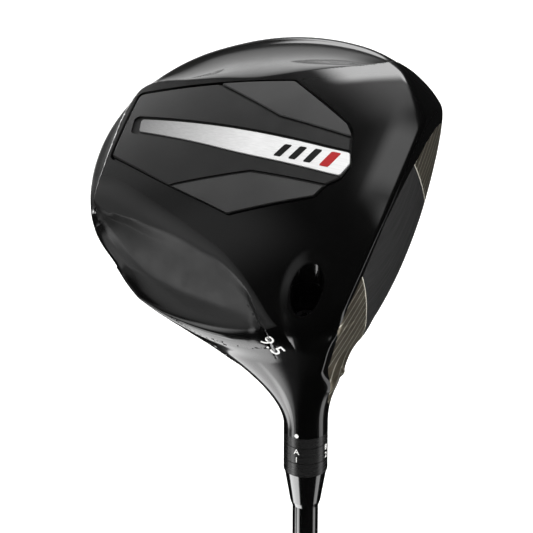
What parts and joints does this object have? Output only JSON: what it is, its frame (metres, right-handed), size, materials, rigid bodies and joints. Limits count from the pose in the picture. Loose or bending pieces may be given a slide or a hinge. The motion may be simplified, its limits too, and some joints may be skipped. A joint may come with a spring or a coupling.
{
  "type": "golf driver",
  "caption": "Right-handed golf driver: hollow glossy head with a recessed sole panel, loft adapter ring and sleeve, tapered ferrule, slim shaft and rubber grip.",
  "frame": {"origin": "centre of the grip's butt end, at the mouth of the vent hole, on the shaft's axis", "axes": "+Z along the shaft from the butt to the head; +X the way the face points, towards the target; +Y towards the toe side, so the sole faces mostly -Y and +Z"},
  "size_m": [0.12, 0.117, 1.1953],
  "materials": {
    "gloss_head": "gloss black paint over titanium",
    "face": "brushed dark metal",
    "crown": "gloss black",
    "panel": "matte dark grey",
    "inlay": "fine-grained matte grey",
    "strip": "satin silver",
    "weight": "black oxide",
    "screw": "satin",
    "nylon": "matte",
    "adapter": "black anodised",
    "ferrule": "gloss black",
    "shaft": "gloss dark graphite",
    "brass": "plain",
    "tape": "paper tape",
    "grip": "matte textured"
  },
  "bodies": {
    "shaft_assembly": {"shaft": "shaft", "tip_weight": "brass", "ferrule": "ferrule", "adapter_sleeve": "adapter", "grip_tape": "tape", "grip": "grip", "grip_cap": "grip"},
    "ring": {"adapter_ring": "adapter"},
    "seat": {"screw_washer": "screw"},
    "head": {"head_body": "gloss_head", "face_plate": "face", "crown_shell": "crown", "sole_panel": "panel", "toe_inlay": "inlay", "heel_inlay": "inlay", "badge_strip": "strip"},
    "retainer": {"screw_retainer": "nylon"},
    "adapter_screw": {"adapter_screw": "screw"},
    "weight": {"tail_weight": "weight"},
    "weight_screw": {"weight_screw": "screw"}
  },
  "joints": [
    {"name": "ring_turn", "type": "hinge", "parent": "shaft_assembly", "child": "ring", "pos_m": [0, 0, 1.09], "axis": [0, 0, 1], "continuous": true},
    {"name": "head_slide", "type": "slide", "parent": "shaft_assembly", "child": "seat", "axis": [0, 0, 1], "range_m": [0, 0.035]},
    {"name": "head_turn", "type": "hinge", "parent": "seat", "child": "head", "pos_m": [0, 0, 1.11], "axis": [0, 0, 1], "continuous": true},
    {"name": "screw_back_out", "type": "slide", "parent": "head", "child": "retainer", "axis": [0, 0, 1], "range_m": [0, 0.009]},
    {"name": "screw_turn", "type": "hinge", "parent": "retainer", "child": "adapter_screw", "pos_m": [0, 0, 1.13], "axis": [0, 0, 1], "range_deg": [0, 4050]},
    {"name": "weight_out", "type": "slide", "parent": "head", "child": "weight", "axis": [-1, 0, 0], "range_m": [0, 0.005]},
    {"name": "weight_screw_turn", "type": "hinge", "parent": "weight", "child": "weight_screw", "pos_m": [-0.094, 0.05035, 1.15008], "axis": [-1, 0, 0], "range_deg": [0, 3600]}
  ],
  "couplings": [
    {"joint": "screw_turn", "follows": "screw_back_out", "rad_per_m": 7854},
    {"joint": "weight_screw_turn", "follows": "weight_out", "rad_per_m": 12566}
  ]
}
